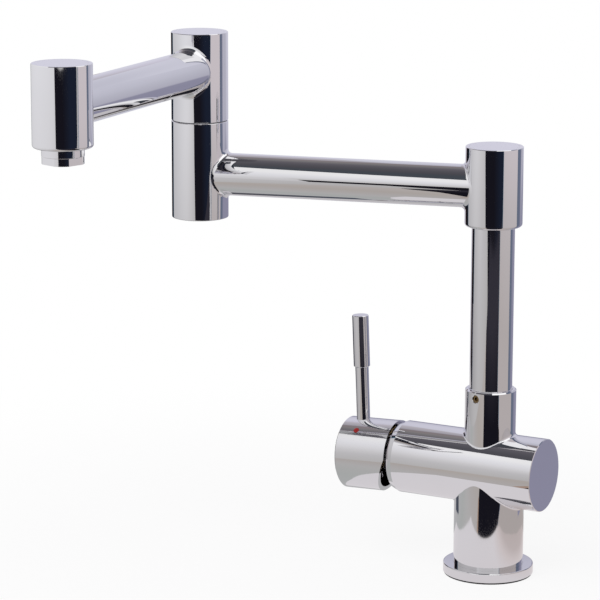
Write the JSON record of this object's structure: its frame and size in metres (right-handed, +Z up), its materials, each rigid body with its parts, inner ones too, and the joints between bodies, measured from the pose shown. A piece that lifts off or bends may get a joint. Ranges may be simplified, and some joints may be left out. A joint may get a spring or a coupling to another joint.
{
  "type": "pot filler tap",
  "caption": "Deck-mounted pot filler: mixing valve with a side lever on a base column, an upright riser and a double-jointed folding arm that ends in an aerated spout head.",
  "frame": {"origin": "on the deck, on the axis of the base column, at the underside of the base gasket", "axes": "+Z up; X along the valve barrel, +X towards its plain end and the handle at -X; -Y towards the user"},
  "size_m": [0.2506, 0.2772, 0.3545],
  "materials": {
    "polished_steel": "mirror polished",
    "plain_steel": "turned, plain",
    "brass": "turned, plain",
    "brass_screw": "turned, plain",
    "white_ceramic": "lapped",
    "white_plastic": "moulded, satin",
    "grey_plastic": "moulded, satin",
    "red_plastic": "gloss",
    "black_rubber": "matt"
  },
  "bodies": {
    "tap_body": {"base_gasket": "black_rubber", "base_flange": "polished_steel", "base_column": "polished_steel", "valve_body": "polished_steel", "riser_screw": "brass_screw", "riser_washer": "white_plastic", "inlet_block": "brass", "inlet_block_seals": "black_rubber", "inlet_block_screws": "plain_steel", "cartridge_base": "grey_plastic", "cartridge_port_seals": "black_rubber", "fixed_disc": "white_ceramic", "cartridge_housing": "white_plastic", "cartridge_nut": "brass"},
    "lower_arm_body": {"riser_spigot": "brass", "riser_o_rings": "black_rubber", "riser_tube": "polished_steel", "lower_arm": "polished_steel", "knuckle_cap": "polished_steel", "column_plug": "polished_steel", "lower_arm_plug_seals": "black_rubber", "elbow_post": "brass", "elbow_o_rings": "black_rubber", "elbow_retaining_ring": "plain_steel", "elbow_washer": "grey_plastic"},
    "upper_arm_body": {"elbow_bush": "brass", "upper_arm": "polished_steel", "column_cap": "polished_steel", "head_cap": "polished_steel", "upper_arm_plug_seals": "black_rubber", "aerator_adapter": "polished_steel", "aerator_washer": "black_rubber", "aerator_housing": "polished_steel", "aerator_screen": "plain_steel", "aerator_insert": "white_plastic", "flow_limiter": "grey_plastic"},
    "rotor_body": {"cartridge_rotor": "grey_plastic", "rotor_o_ring": "black_rubber", "spindle_pin": "plain_steel"},
    "lever_body": {"cartridge_spindle": "plain_steel", "handle_cap": "polished_steel", "handle_grub_screw": "plain_steel", "index_button": "red_plastic", "lever_rod": "polished_steel", "lever_grip": "polished_steel"},
    "disc_body": {"moving_disc": "white_ceramic", "disc_driver": "grey_plastic"}
  },
  "joints": [
    {"name": "lower_arm_swivel", "type": "hinge", "parent": "tap_body", "child": "lower_arm_body", "pos_m": [0, 0, 0.1254], "axis": [0, 0, 1], "continuous": true},
    {"name": "upper_arm_swivel", "type": "hinge", "parent": "lower_arm_body", "child": "upper_arm_body", "pos_m": [-0.19273, -0.04538, 0.294], "axis": [0, 0, 1], "continuous": true},
    {"name": "lever_turn", "type": "hinge", "parent": "tap_body", "child": "rotor_body", "pos_m": [-0.0505, 0, 0.0712], "axis": [1, 0, 0], "range_deg": [-45, 45]},
    {"name": "lever_lift", "type": "hinge", "parent": "rotor_body", "child": "lever_body", "pos_m": [-0.0505, 0, 0.0712], "axis": [0, -1, 0], "range_deg": [0, 22]},
    {"name": "disc_shift", "type": "slide", "parent": "rotor_body", "child": "disc_body", "axis": [0, 0, 1], "range_m": [0, 0.0034]}
  ],
  "couplings": [
    {"joint": "disc_shift", "follows": "lever_lift", "m_per_rad": 0.0087}
  ]
}
